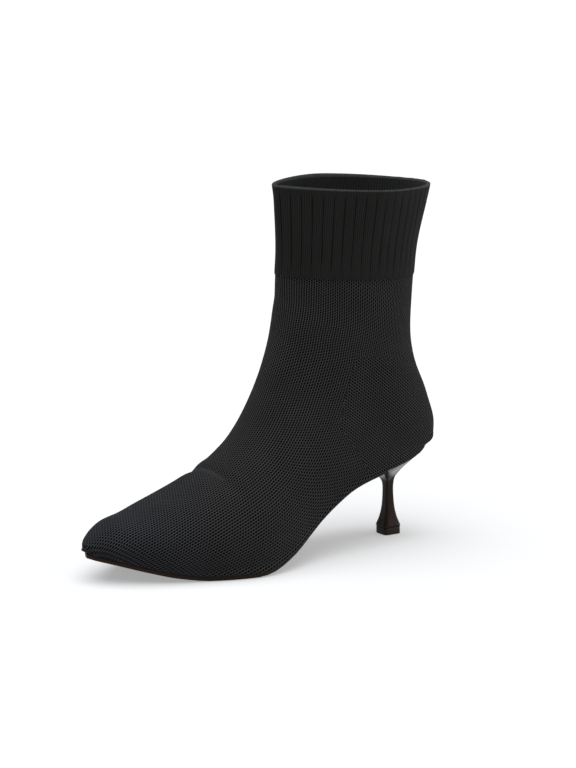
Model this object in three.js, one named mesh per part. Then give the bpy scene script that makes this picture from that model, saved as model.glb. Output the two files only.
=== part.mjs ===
// Sock boot, left foot: a knitted tube lasted over a pointed foot form, with a ribbed cuff,
// a thin sole and a slim spool heel that flares to a small rectangular foot.
// Millimetres. X runs from the heel to the toe, Y to the outer (little toe) side, Z up.

import * as THREE from 'three';

// Foot form
const footLength = 257.6;
const ballWidth = 82;
const instepHeight = 103;
const seatHeight = 57.5;
const toeSpring = 16;

// Leg of the tube
const collarHeight = 235;
const collarDrop = 5;
const collarDip = 0.4;
const collarLift = 1.3;
const legWidth = 66;
const collarLength = 117;

// Knit
const wall = 1.8;
const marginWidth = 8;
const toePuff = 5;
const ribCount = 42;
const ribProud = 0.5;
const grooveDepth = 0.7;
const grooveShare = 0.09;
const rimChamfer = 0.6;

// Sole, insole and heel
const seamGap = 0.3;
const soleThickness = 2.7;
const waistThickness = 1.8;
const soleInset = 1.2;
const heelInset = 2;
const soleBevel = 0.5;
const insoleThickness = 2.2;
const insoleGap = 2.2;
const insoleToeGap = 10;
const heelSeatLength = 46;
const heelRim = 1.2;
const heelBaseLength = 13;
const heelBaseWidth = 11.4;
const heelCorner = 1.3;
const heelPosition = 25.4;
const heelLean = 1.3;
const neckWidth = 5.8;
const tipThickness = 4.8;
const tipBevel = 0.4;
const seatCorner = 3;

// How finely the curved faces are divided
const sideColumns = 22;
const innerColumns = 13;
const rowsPerSection = 3;
const plateRows = 40;
const heelPoints = 28;

const near = 1;
const far = -1;
const soleTop = soleThickness + seamGap;
const halfBall = ballWidth / 2;

// Smooth curve through (x, y) knots that never overshoots them.
function smooth(xs, ys) {
  const n = xs.length;
  const slope = [];
  for (let i = 0; i < n - 1; i++) slope.push((ys[i + 1] - ys[i]) / (xs[i + 1] - xs[i]));
  const tangent = [slope[0]];
  for (let i = 1; i < n - 1; i++) {
    const a = slope[i - 1];
    const b = slope[i];
    tangent.push(a * b > 0 ? (2 * a * b) / (a + b) : 0);
  }
  tangent.push(slope[n - 2]);
  return (x) => {
    let i = 0;
    while (i < n - 2 && x > xs[i + 1]) i++;
    const h = xs[i + 1] - xs[i];
    const u = THREE.MathUtils.clamp((x - xs[i]) / h, 0, 1);
    const start = ys[i] * (1 + 2 * u) * (1 - u) ** 2 + ys[i + 1] * u * u * (3 - 2 * u);
    return start + h * (tangent[i] * u * (1 - u) ** 2 + tangent[i + 1] * u * u * (u - 1));
  };
}

const column = (table, key) => table.map((row) => row[key]);
const indexCurve = (values) => smooth(values.map((_, i) => i), values);

// Where the seat starts, as a share of the foot length.
const seatStart = 0.01;

// Lower edge of the upper, seen from the side. Along is a share of the foot length, seat a share
// of the seat's height above the ball, spring a share of the toe spring.
const soleLineTable = [
  { along: seatStart, seat: 1, spring: 0 },
  { along: 0.12, seat: 0.949, spring: 0 },
  { along: 0.2, seat: 0.862, spring: 0 },
  { along: 0.28, seat: 0.745, spring: 0 },
  { along: 0.36, seat: 0.54, spring: 0 },
  { along: 0.44, seat: 0.3, spring: 0 },
  { along: 0.52, seat: 0.1, spring: 0 },
  { along: 0.575, seat: 0.02, spring: 0 },
  { along: 0.62, seat: 0, spring: 0 },
  { along: 0.73, seat: 0, spring: 0 },
  { along: 0.8, seat: 0, spring: 0.14 },
  { along: 0.88, seat: 0, spring: 0.46 },
  { along: 0.94, seat: 0, spring: 0.74 },
  { along: 1, seat: 0, spring: 1 },
];
const soleAlong = column(soleLineTable, 'along');
const seatShare = smooth(soleAlong, column(soleLineTable, 'seat'));
const springShare = smooth(soleAlong, column(soleLineTable, 'spring'));

function soleLine(x) {
  const along = x / footLength;
  return soleTop + (seatHeight - soleTop) * seatShare(along) + toeSpring * springShare(along);
}

// Lower edge of the upper, seen from above: half widths as shares of half the ball width.
const outlineTable = [
  { along: seatStart, outer: 0, inner: 0 },
  { along: 0.017, outer: 0.18, inner: 0.18 },
  { along: 0.034, outer: 0.32, inner: 0.32 },
  { along: 0.058, outer: 0.455, inner: 0.455 },
  { along: 0.09, outer: 0.59, inner: 0.59 },
  { along: 0.135, outer: 0.695, inner: 0.695 },
  { along: 0.2, outer: 0.735, inner: 0.735 },
  { along: 0.3, outer: 0.74, inner: 0.71 },
  { along: 0.4, outer: 0.82, inner: 0.72 },
  { along: 0.5, outer: 1.03, inner: 0.8 },
  { along: 0.6, outer: 1.155, inner: 0.91 },
  { along: 0.68, outer: 1.07, inner: 0.975 },
  { along: 0.76, outer: 0.88, inner: 0.91 },
  { along: 0.84, outer: 0.7, inner: 0.735 },
  { along: 0.91, outer: 0.48, inner: 0.51 },
  { along: 0.96, outer: 0.295, inner: 0.31 },
  { along: 0.99, outer: 0.15, inner: 0.155 },
  { along: 1, outer: 0, inner: 0 },
];

function outlineCurve() {
  const points = outlineTable.map((row) => [row.along * footLength, row.outer * halfBall]);
  const back = outlineTable.slice(1, -1).reverse();
  for (const row of back) points.push([row.along * footLength, -row.inner * halfBall]);
  const knots = points.map(([x, y]) => new THREE.Vector3(x, y, 0));
  return new THREE.CatmullRomCurve3(knots, true, 'centripetal');
}

// The closed outline as two runs from heel to toe, outer side first.
const outlineRun = (() => {
  const points = outlineCurve().getPoints(900);
  const toe = points.reduce((best, p, i) => (p.x > points[best].x ? i : best), 0);
  const heel = points.reduce((best, p, i) => (p.x < points[best].x ? i : best), 0);
  const turned = [...points.slice(heel, -1), ...points.slice(0, heel + 1)];
  const split = (toe - heel + points.length - 1) % (points.length - 1);
  return { [near]: turned.slice(0, split + 1), [far]: turned.slice(split).reverse() };
})();
const heelBack = outlineRun[near][0].x;
const toeTip = outlineRun[near].at(-1).x;

// Half width of a run of outline points at a given x.
function widthAt(run, x) {
  if (x <= run[0].x) return 0;
  for (let i = 1; i < run.length; i++) {
    if (x <= run[i].x) {
      const u = (x - run[i - 1].x) / Math.max(run[i].x - run[i - 1].x, 1e-9);
      return Math.abs(run[i - 1].y + u * (run[i].y - run[i - 1].y));
    }
  }
  return 0;
}

// A point of the outline moved in by a distance, towards the middle line of the foot.
const heelRadius = ballWidth * 0.34;
const toeRadius = ballWidth * 0.3;
function movedIn(x, y, distance) {
  const spine = THREE.MathUtils.clamp(x, heelBack + heelRadius, toeTip - toeRadius);
  const reach = Math.hypot(spine - x, y);
  const u = Math.min(distance / Math.max(reach, 1e-9), 1);
  return [x + u * (spine - x), y * (1 - u)];
}

// Sections of the upper over the foot, from the toe tip back. Each lies in a plane through a point
// of the ridge (front, rise) and a point of the sole line (back). Rise is a share of the instep
// height, outer and inner the half widths at the widest as shares of half the ball width, widest
// how far up the section that is.
const footSections = [
  { front: 1, rise: 0.066, back: 1, outer: 0, inner: 0, widest: 0.4 },
  { front: 0.989, rise: 0.085, back: 0.985, outer: 0.2, inner: 0.2, widest: 0.38 },
  { front: 0.965, rise: 0.143, back: 0.955, outer: 0.36, inner: 0.37, widest: 0.36 },
  { front: 0.921, rise: 0.224, back: 0.9, outer: 0.57, inner: 0.595, widest: 0.33 },
  { front: 0.864, rise: 0.288, back: 0.83, outer: 0.78, inner: 0.815, widest: 0.31 },
  { front: 0.794, rise: 0.385, back: 0.75, outer: 0.955, inner: 0.965, widest: 0.29 },
  { front: 0.722, rise: 0.47, back: 0.66, outer: 1.12, inner: 1.015, widest: 0.28 },
  { front: 0.659, rise: 0.548, back: 0.57, outer: 1.16, inner: 0.93, widest: 0.28 },
  { front: 0.607, rise: 0.635, back: 0.48, outer: 1.03, inner: 0.83, widest: 0.3 },
  { front: 0.56, rise: 0.725, back: 0.39, outer: 0.87, inner: 0.785, widest: 0.32 },
  { front: 0.527, rise: 0.812, back: 0.28, outer: 0.815, inner: 0.795, widest: 0.35 },
  { front: 0.509, rise: 0.888, back: 0.17, outer: 0.82, inner: 0.815, widest: 0.39 },
  { front: 0.494, rise: 0.963, back: 0.08, outer: 0.79, inner: 0.79, widest: 0.43 },
  { front: 0.4865, rise: 1, back: seatStart, outer: 0.79, inner: 0.78, widest: 0.46 },
];
const heelSection = footSections.length - 1;

// Sections of the leg, from the heel up to the collar. Front and back are shares of the collar's
// length from the back of the collar, frontRise and backRise shares of the way from the top of the
// instep, or from the seat, to the collar. Width is a share of the leg's width. Pinch is how far
// the front has turned from a round into a creased edge.
const legSections = [
  { front: 1.045, frontRise: 0.07, back: -0.052, backRise: 0.038, width: 0.975, pinch: 0, widest: 0.47 },
  { front: 1.021, frontRise: 0.138, back: -0.05, backRise: 0.09, width: 0.98, pinch: 0, widest: 0.47 },
  { front: 1.001, frontRise: 0.206, back: -0.015, backRise: 0.16, width: 0.985, pinch: 0, widest: 0.48 },
  { front: 0.99, frontRise: 0.275, back: 0.035, backRise: 0.24, width: 0.995, pinch: 0.1, widest: 0.48 },
  { front: 0.984, frontRise: 0.342, back: 0.107, backRise: 0.338, width: 1, pinch: 0.3, widest: 0.49 },
  { front: 0.981, frontRise: 0.402, back: 0.142, backRise: 0.447, width: 1.01, pinch: 0.55, widest: 0.5 },
  { front: 0.989, frontRise: 0.462, back: 0.143, backRise: 0.562, width: 1.025, pinch: 0.75, widest: 0.5 },
  { front: 0.994, frontRise: 0.526, back: 0.135, backRise: 0.674, width: 1.04, pinch: 0.87, widest: 0.5 },
  { front: 0.992, frontRise: 0.626, back: 0.128, backRise: 0.742, width: 1.05, pinch: 0.92, widest: 0.5 },
  { front: 0.998, frontRise: 0.744, back: 0.107, backRise: 0.82, width: 1.065, pinch: 0.96, widest: 0.5 },
  { front: 1.01, frontRise: 0.863, back: 0.068, backRise: 0.905, width: 1.08, pinch: 1, widest: 0.5 },
  { front: 1.018, frontRise: 0.94, back: 0.04, backRise: 0.96, width: 1.09, pinch: 1, widest: 0.5 },
  { front: 1.03, frontRise: 1, back: 0.018, backRise: 1, width: 1.1, pinch: 1, widest: 0.5 },
];
const cuffSection = heelSection + 8;
const collarSection = heelSection + legSections.length;

const roundFront = 2.2;
const pinchedFront = 1.45;
const roundBack = 2;
const pinchedBack = 1.75;

// Every value of a section as a curve over the section number.
function sectionCurves() {
  const rows = [];
  for (const s of footSections) {
    const x = s.front * footLength;
    rows.push({
      frontX: x,
      frontZ: soleLine(x) + s.rise * instepHeight,
      backX: heelBack + ((s.back - seatStart) / (1 - seatStart)) * (toeTip - heelBack),
      backZ: null,
      outer: s.outer * halfBall,
      inner: s.inner * halfBall,
      widest: s.widest,
      pinch: 0,
    });
  }
  const instep = rows.at(-1).frontZ;
  for (const s of legSections) {
    rows.push({
      frontX: s.front * collarLength,
      frontZ: instep + s.frontRise * (collarHeight - instep),
      backX: s.back * collarLength,
      backZ: seatHeight + s.backRise * (collarHeight - collarDrop - seatHeight),
      outer: (s.width * legWidth) / 2,
      inner: (s.width * legWidth) / 2,
      widest: s.widest,
      pinch: s.pinch,
    });
  }
  for (const row of rows) if (row.backZ === null) row.backZ = soleLine(row.backX);
  const curves = {};
  for (const key of Object.keys(rows[0])) curves[key] = indexCurve(column(rows, key));
  return curves;
}
const curves = sectionCurves();

// One side of a section as points from its lower edge (share 0) to the ridge (share 1),
// spaced by length along the wall.
function sidePath(t, side) {
  const front = [curves.frontX(t), curves.frontZ(t)];
  const backX = curves.backX(t);
  const onFoot = t <= heelSection;
  const back = [backX, onFoot ? soleLine(backX) : curves.backZ(t)];
  const corner = onFoot ? widthAt(outlineRun[side], backX) : 0;
  const width = Math.max(side === near ? curves.outer(t) : curves.inner(t), corner * 1.01 + 0.001);
  const widest = curves.widest(t);
  const upCuff = Math.max(t - cuffSection, 0) / (collarSection - cuffSection);
  const frontPower = THREE.MathUtils.lerp(roundFront, pinchedFront, curves.pinch(t));
  const backPower = THREE.MathUtils.lerp(roundBack, pinchedBack, upCuff ** 2);
  const reach = widest / (1 - Math.min(corner / width, 0.999) ** backPower) ** (1 / backPower);
  const steps = 24;
  const shares = [];
  for (let i = 0; i < steps; i++) {
    const s = widest * (1 - Math.cos((i / steps) * (Math.PI / 2)));
    const inside = Math.max(1 - ((widest - s) / reach) ** backPower, 0);
    shares.push([s, width * inside ** (1 / backPower)]);
  }
  for (let i = 0; i <= steps; i++) {
    const angle = (i / steps) * (Math.PI / 2);
    const s = widest + (1 - widest) * Math.sin(angle) ** (2 / frontPower);
    shares.push([s, width * Math.max(Math.cos(angle), 0) ** (2 / frontPower)]);
  }
  shares[0][1] = corner;
  shares.at(-1)[1] = 0;
  if (t === 0) for (const share of shares) share[1] = 0;
  const hang = (side === near ? -collarDip : collarLift) * upCuff ** 2;
  const points = shares.map(([s, y]) => {
    const x = back[0] + s * (front[0] - back[0]);
    const z = back[1] + s * (front[1] - back[1]) + hang * (y / width) ** 2;
    return new THREE.Vector3(x, side * y, z);
  });
  const lengths = [0];
  for (let i = 1; i < points.length; i++) lengths.push(lengths[i - 1] + points[i].distanceTo(points[i - 1]));
  const total = lengths.at(-1);
  return (u) => {
    const goal = THREE.MathUtils.clamp(u, 0, 1) * total;
    let i = 1;
    while (i < points.length - 1 && lengths[i] < goal) i++;
    const part = (goal - lengths[i - 1]) / (lengths[i] - lengths[i - 1]);
    return points[i - 1].clone().lerp(points[i], THREE.MathUtils.clamp(part, 0, 1));
  };
}

// A whole section. Its share u runs 0 to 1 up the outer side and 1 to 2 down the inner side.
function sharpSection(t) {
  const sides = { [near]: sidePath(t, near), [far]: sidePath(t, far) };
  return (u) => (u <= 1 ? sides[near](u) : sides[far](2 - u));
}

// Around the heel the sections fan out from the corner of the seat. Above the lower edge each
// point is averaged with its neighbours on the sections around it, so the wall has no crease.
const blendReach = 1.6;
const blendSections = 5;
const blendStep = 0.2;
const blendEdge = 0.3;
const blendFull = 0.6;

// The heel cup swells out just above the seat, most at its back corners. The swell is full at a
// third of its height.
const cupSwell = 1.9;
const cupHeight = 10;
const cupEnd = 50;
const cupCorner = 12;
const fullSwell = 27 / 4;
function swollen(p) {
  const rise = (p.z - soleLine(p.x)) / cupHeight;
  if (rise <= 0 || rise >= 1) return p;
  const middle = heelBack + heelRadius;
  const atCorner = THREE.MathUtils.smoothstep(Math.abs(p.y), cupCorner / 4, cupCorner);
  const fade = atCorner * (1 - THREE.MathUtils.smoothstep(p.x, cupEnd / 2, cupEnd));
  const swell = (cupSwell * fade * fullSwell * rise * (1 - rise) ** 2) / Math.hypot(p.x - middle, p.y);
  return new THREE.Vector3(p.x + swell * (p.x - middle), p.y + swell * p.y, p.z);
}

function section(t) {
  const here = sharpSection(t);
  const closeness = 1 - Math.abs(t - heelSection) / blendSections;
  if (closeness <= 0) return here;
  const count = Math.round(blendReach / blendStep);
  const around = [];
  for (let k = -count; k <= count; k++) {
    around.push({ offset: Math.abs(k * blendStep), at: k === 0 ? here : sharpSection(t + k * blendStep) });
  }
  const fade = THREE.MathUtils.smoothstep(closeness, 0, blendFull);
  return (u) => {
    const fromEdge = THREE.MathUtils.smoothstep(Math.min(u, 2 - u), 0, blendEdge);
    const reach = blendReach * fade * fromEdge;
    if (reach < 1e-6) return here(u);
    const sum = new THREE.Vector3();
    let total = 0;
    for (const { offset, at } of around) {
      const weight = Math.max(0, 1 - offset / (reach + blendStep * 0.99));
      if (weight === 0) continue;
      sum.addScaledVector(at(u), weight);
      total += weight;
    }
    return swollen(sum.divideScalar(total));
  };
}

// A row of points on a section, moved out along the wall's own outward direction.
function wallRow(t, shares, outward) {
  const step = 0.02;
  const here = section(t);
  const ahead = section(Math.min(t + step, collarSection));
  const behind = section(Math.max(t - step, 0));
  const closed = t > heelSection;
  return shares.map((u) => {
    const point = here(u);
    const wrap = (v) => (closed ? (v + 2) % 2 : THREE.MathUtils.clamp(v, 0, 2));
    const along = ahead(u).sub(behind(u));
    const around = here(wrap(u + step)).sub(here(wrap(u - step)));
    const normal = along.cross(around).normalize();
    const onMiddle = u === 0 || u === 1 || u === 2;
    if (onMiddle && (u === 1 || t >= heelSection)) normal.y = 0;
    normal.normalize();
    const offset = typeof outward === 'function' ? outward(u) : outward;
    return { share: u, point: point.addScaledVector(normal, offset) };
  });
}

const evenShares = (count) => Array.from({ length: 2 * count + 1 }, (_, i) => i / count);

// Shares that lie closer together at the lower edge and the ridge than on the flat of the side.
const easing = 0.08;
const easedShares = (count) => evenShares(count).map((u) => u - easing * Math.sin(2 * Math.PI * u));

// Shares of the cuff's points: each groove has its bottom and its two shoulders.
function ribShares() {
  const pitch = 2 / ribCount;
  const shares = [0];
  for (let i = 0; i < ribCount; i++) {
    const groove = (i + 0.5) * pitch;
    shares.push(groove - grooveShare * pitch, groove, groove + grooveShare * pitch);
    if (Math.abs(groove + pitch / 2 - 1) < pitch / 4) shares.push(1);
  }
  shares.push(2);
  return shares;
}

function isGroove(u) {
  const pitch = 2 / ribCount;
  const place = (u / pitch + 0.5) % 1;
  return Math.min(place, 1 - place) < grooveShare / 2;
}

// Triangles between two rows, the first one lower down or nearer the toe than the second.
function addStrip(triangles, a, b) {
  let i = 0;
  let j = 0;
  while (i < a.length - 1 || j < b.length - 1) {
    const nextA = i < a.length - 1 ? a[i + 1].share : Infinity;
    const nextB = j < b.length - 1 ? b[j + 1].share : Infinity;
    if (nextA <= nextB) {
      triangles.push([a[i].point, b[j].point, a[i + 1].point]);
      i++;
    } else {
      triangles.push([a[i].point, b[j].point, b[j + 1].point]);
      j++;
    }
  }
}

// A closed mesh from loose triangles: equal corners are joined and empty triangles dropped.
const joinGrid = 2000;
function meshFrom(triangles, name, look) {
  const index = new Map();
  const positions = [];
  const faces = [];
  const corner = (p) => {
    const key = [p.x, p.y, p.z].map((v) => Math.round(v * joinGrid + 0.1)).join(' ');
    if (!index.has(key)) {
      index.set(key, positions.length / 3);
      positions.push(p.x, p.y, p.z);
    }
    return index.get(key);
  };
  for (const [p, q, r] of triangles) {
    const ids = [corner(p), corner(q), corner(r)];
    if (ids[0] !== ids[1] && ids[1] !== ids[2] && ids[0] !== ids[2]) faces.push(...ids);
  }
  const geometry = new THREE.BufferGeometry();
  geometry.setAttribute('position', new THREE.Float32BufferAttribute(positions, 3));
  geometry.setIndex(faces);
  geometry.computeVertexNormals();
  const mesh = new THREE.Mesh(geometry, new THREE.MeshStandardMaterial(look));
  mesh.name = name;
  return mesh;
}

// Section numbers of the rows over the foot, closer together at the toe tip and the heel corner.
function footRowNumbers() {
  const rows = [];
  const toeSteps = 6;
  const heelSteps = 7;
  for (let i = 0; i < toeSteps; i++) rows.push((i / toeSteps) ** 2);
  const last = heelSection - 1;
  for (let i = 0; i < (last - 1) * rowsPerSection; i++) rows.push(1 + i / rowsPerSection);
  for (let i = 0; i <= heelSteps; i++) rows.push(heelSection - (1 - i / heelSteps) ** 2);
  return rows;
}

function legRowNumbers() {
  const rows = [];
  const closeSections = 3;
  for (let i = 1; i < closeSections * rowsPerSection; i++) rows.push(heelSection + i / rowsPerSection);
  for (let t = heelSection + closeSections; t < cuffSection; t++) rows.push(t);
  return rows;
}

function cuffRowNumbers() {
  const rows = [];
  for (let t = cuffSection; t < collarSection; t++) rows.push(t);
  return rows;
}

function upperOutside(triangles) {
  const even = evenShares(sideColumns);
  const ribs = ribShares();
  const rows = [...footRowNumbers(), ...legRowNumbers()].map((t) => wallRow(t, even, 0));
  rows.push(wallRow(cuffSection, ribs, 0));
  const ribbed = (u) => ribProud - (isGroove(u) ? grooveDepth : 0);
  const cuffRows = cuffRowNumbers();
  for (const t of cuffRows) rows.push(wallRow(t, ribs, ribbed));
  const lastSection = curves.backZ(collarSection) - curves.backZ(collarSection - 1);
  const rim = collarSection - rimChamfer / lastSection;
  rows.push(wallRow(rim, ribs, ribbed));
  rows.push(wallRow(collarSection, ribs, (u) => ribbed(u) - rimChamfer));
  for (let i = 1; i < rows.length; i++) addStrip(triangles, rows[i - 1], rows[i]);
  return rows;
}

// Inner face of the wall: starts behind the toe puff and lifts off the lasting margin.
const innerStart = 1.15;
const innerFull = 3;
const archSection = 8;
const liftHeight = 3 * wall;
function innerRowNumbers() {
  const rows = [];
  const toeSteps = 4;
  const heelSteps = 8;
  for (let i = 0; i < toeSteps; i++) rows.push(innerStart + (2 - innerStart) * (i / toeSteps) ** 1.5);
  for (let t = 2; t < heelSection - 1; t += t < archSection ? 1 / 2 : 1 / 3) rows.push(t);
  for (let i = 0; i <= heelSteps; i++) rows.push(heelSection - (1 - i / heelSteps) ** 2);
  for (let t = heelSection + 1; t < collarSection; t++) rows.push(t);
  rows.push(collarSection);
  return rows;
}

function innerRow(t) {
  const row = wallRow(t, easedShares(innerColumns), -wall);
  if (t <= heelSection) {
    const floor = { [near]: section(t)(0), [far]: section(t)(2) };
    for (const cell of row) {
      const edge = floor[cell.share <= 1 ? near : far];
      const rise = cell.point.z - edge.z;
      cell.point.z += wall * Math.max(0, 1 - rise / liftHeight);
    }
    for (const cell of [row[0], row.at(-1)]) {
      const edge = floor[cell.share <= 1 ? near : far];
      const [x, y] = movedIn(edge.x, edge.y, wall);
      cell.point.set(x, y, soleLine(x) + wall);
    }
  }
  const open = THREE.MathUtils.clamp((t - innerStart) / (innerFull - innerStart), 0, 1);
  const fade = Math.sqrt(1 - (1 - open) ** 2);
  for (const cell of row) {
    cell.point.y *= fade;
    cell.point.x -= (toePuff - wall) * (1 - open);
  }
  if (t === innerStart) {
    const count = row.length;
    for (let i = 0; i < count / 2; i++) {
      const middle = row[i].point.clone().lerp(row[count - 1 - i].point, 0.5);
      middle.y = 0;
      row[i].point.copy(middle);
      row[count - 1 - i].point.copy(middle);
    }
  }
  return row;
}

// The turned-in margin that joins the lower edges outside and inside, as loops that run from
// the toe along the inner side to the heel and back along the outer side.
function footLoop(numbers, pointAt) {
  const loop = [];
  for (const t of numbers) loop.push({ share: t / heelSection, point: pointAt(t, far) });
  for (const t of [...numbers].reverse()) loop.push({ share: 2 - t / heelSection, point: pointAt(t, near) });
  loop.push({ share: loop[0].share + 2, point: loop[0].point });
  return loop;
}

function marginPoint(t, side, lift) {
  const edge = section(t)(side === near ? 0 : 2);
  const [x, y] = movedIn(edge.x, edge.y, marginWidth);
  return new THREE.Vector3(x, y, soleLine(x) + lift);
}

function makeUpper() {
  const triangles = [];
  const outside = upperOutside(triangles);
  const numbers = innerRowNumbers();
  const inside = numbers.map(innerRow);
  for (let i = 1; i < inside.length; i++) addStrip(triangles, inside[i], inside[i - 1]);
  addStrip(triangles, outside.at(-1), inside.at(-1));
  const onFoot = numbers.filter((t) => t <= heelSection);
  const cornerOf = (t, side) => {
    const row = inside[numbers.indexOf(t)];
    return side === near ? row[0].point : row.at(-1).point;
  };
  const edgeOf = (t, side) => section(t)(side === near ? 0 : 2);
  const feather = footLoop(footRowNumbers(), edgeOf);
  const under = footLoop(onFoot, (t, side) => marginPoint(t, side, 0));
  const over = footLoop(onFoot, (t, side) => marginPoint(t, side, wall));
  const innerEdge = footLoop(onFoot, cornerOf);
  addStrip(triangles, under, feather);
  addStrip(triangles, over, under);
  addStrip(triangles, innerEdge, over);
  return meshFrom(triangles, 'upper', { color: 0x0b0b0d, roughness: 0.95, metalness: 0 });
}

// A thin curved plate under or in the foot, between two heights that follow the sole line.
// Its rows lie closer together at the ends, by the share endRows.
const endRows = 0.4;
function makePlate(name, look, start, end, insetAt, bottomInset, topAt, bottomAt) {
  const xs = [];
  for (let i = 0; i <= plateRows; i++) {
    const u = i / plateRows;
    const eased = 0.5 - 0.5 * Math.cos(Math.PI * u);
    xs.push(start + (end - start) * THREE.MathUtils.lerp(u, eased, endRows));
  }
  const edge = (side, inset) => {
    const run = outlineRun[side].map((p) => {
      const [x, y] = movedIn(p.x, p.y, insetAt(p.x) + inset);
      return { x, y };
    });
    return xs.map((x, i) => (i === plateRows && end > footLength / 2 ? 0 : side * widthAt(run, x)));
  };
  const level = (inset, height) => {
    const sides = [edge(near, inset), edge(far, inset)];
    return xs.map((x, i) => sides.map((side) => new THREE.Vector3(x, side[i], height(x))));
  };
  const top = level(0, topAt);
  const bottom = level(bottomInset, bottomAt);
  const triangles = [];
  const quad = (a, b, c, d) => triangles.push([a, b, c], [a, c, d]);
  for (let i = 0; i < plateRows; i++) {
    quad(top[i][1], top[i + 1][1], top[i + 1][0], top[i][0]);
    quad(bottom[i][0], bottom[i + 1][0], bottom[i + 1][1], bottom[i][1]);
    quad(top[i][0], top[i + 1][0], bottom[i + 1][0], bottom[i][0]);
    quad(bottom[i][1], bottom[i + 1][1], top[i + 1][1], top[i][1]);
  }
  quad(top[0][1], top[0][0], bottom[0][0], bottom[0][1]);
  quad(top[plateRows][0], top[plateRows][1], bottom[plateRows][1], bottom[plateRows][0]);
  return meshFrom(triangles, name, look);
}

const heelBreast = heelBack + heelSeatLength;

function makeOutsole() {
  const waist = smooth([0, 0.25, 0.5, 0.62, 1], [0, 0, 0.25, 1, 1]);
  const thickness = (x) => waistThickness + (soleThickness - waistThickness) * waist(x / footLength);
  const top = (x) => soleLine(x) - seamGap;
  const bottom = (x) => top(x) - thickness(x);
  const look = { color: 0x17120f, roughness: 0.6, metalness: 0 };
  const start = heelBreast + seamGap;
  const end = toeTip - soleInset - soleBevel;
  return makePlate('outsole', look, start, end, () => soleInset, soleBevel, top, bottom);
}

function makeInsole() {
  const bottom = (x) => soleLine(x) + wall + seamGap;
  const top = (x) => bottom(x) + insoleThickness;
  const toeward = (x) => THREE.MathUtils.smoothstep(x, toeTip - 2 * toeRadius, toeTip);
  const inset = (x) => wall + insoleGap + insoleToeGap * toeward(x);
  const look = { color: 0x2a2622, roughness: 0.8, metalness: 0 };
  const bluntEnd = 0.05;
  const start = heelBack + wall + insoleGap + bluntEnd;
  const end = toeTip - wall - insoleGap - insoleToeGap;
  return makePlate('insole', look, start, end, inset, 0, top, bottom);
}

// Distance from the heel's axis to the edge of its seat, in the direction of an angle.
function seatReach(angle) {
  const run = outlineRun[Math.sin(angle) >= 0 ? near : far];
  const step = 0.1;
  let reach = 0;
  for (let r = step; r < heelSeatLength; r += step) {
    const x = heelPosition + r * Math.cos(angle);
    const y = Math.abs(r * Math.sin(angle));
    const edge = widthAt(run, x) - heelInset;
    const cornerX = Math.max(x - heelBreast + seatCorner, 0);
    const cornerY = Math.max(y - edge + seatCorner, 0);
    const inCorner = Math.hypot(cornerX, cornerY) < seatCorner;
    if (y < edge && x > heelBack + heelInset && x < heelBreast && (inCorner || cornerX === 0)) reach = r;
  }
  return reach;
}

// A rounded rectangle around the heel's axis, as a distance in the direction of an angle. The
// larger it is against its corner radius, the squarer its curve.
const squareness = 1.3;
function blockReach(angle, halfLength, halfWidth) {
  const power = 2 + (squareness * Math.min(halfLength, halfWidth)) / heelCorner;
  const c = Math.abs(Math.cos(angle)) / halfLength;
  const s = Math.abs(Math.sin(angle)) / halfWidth;
  return (c ** power + s ** power) ** (-1 / power);
}

// Stem of the heel from its foot up: swell 1 is the size of the foot, 0 the neck.
const stemSections = [
  { rise: 0, swell: 1 },
  { rise: 0.1, swell: 0.84 },
  { rise: 0.24, swell: 0.5 },
  { rise: 0.42, swell: 0.22 },
  { rise: 0.6, swell: 0.07 },
  { rise: 0.8, swell: 0 },
  { rise: 1, swell: 0 },
];

// Flare of the heel from the neck up to the seat: reach 0 is the neck, 1 the edge of the seat.
const flareSections = [
  { rise: 0.224, reach: 0.05 },
  { rise: 0.36, reach: 0.18 },
  { rise: 0.5, reach: 0.36 },
  { rise: 0.66, reach: 0.59 },
  { rise: 0.8, reach: 0.8 },
  { rise: 0.92, reach: 0.95 },
];
const neckTop = seatHeight * 0.56;

// Stacks closed rings into a solid with a lid at each end.
function stack(rings, name, look) {
  const triangles = [];
  const count = rings[0].length;
  const middle = (ring) => ring.reduce((sum, p) => sum.add(p), new THREE.Vector3()).divideScalar(count);
  for (let k = 0; k < rings.length - 1; k++) {
    for (let i = 0; i < count; i++) {
      const j = (i + 1) % count;
      triangles.push([rings[k][i], rings[k][j], rings[k + 1][j]]);
      triangles.push([rings[k][i], rings[k + 1][j], rings[k + 1][i]]);
    }
  }
  const low = middle(rings[0]);
  const high = middle(rings.at(-1));
  for (let i = 0; i < count; i++) {
    const j = (i + 1) % count;
    triangles.push([low, rings[0][j], rings[0][i]]);
    triangles.push([high, rings.at(-1)[i], rings.at(-1)[j]]);
  }
  return meshFrom(triangles, name, look);
}

const heelAngles = Array.from({ length: heelPoints }, (_, i) => ((i + 0.5) / heelPoints) * 2 * Math.PI);

function blockRing(z, swell, scale = 1) {
  const halfLength = THREE.MathUtils.lerp(neckWidth, heelBaseLength, swell) / 2;
  const halfWidth = THREE.MathUtils.lerp(neckWidth, heelBaseWidth, swell) / 2;
  const middle = heelPosition - heelLean * (1 - z / neckTop);
  return heelAngles.map((angle) => {
    const r = blockReach(angle, halfLength, halfWidth) * scale;
    return new THREE.Vector3(middle + r * Math.cos(angle), r * Math.sin(angle), z);
  });
}

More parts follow.
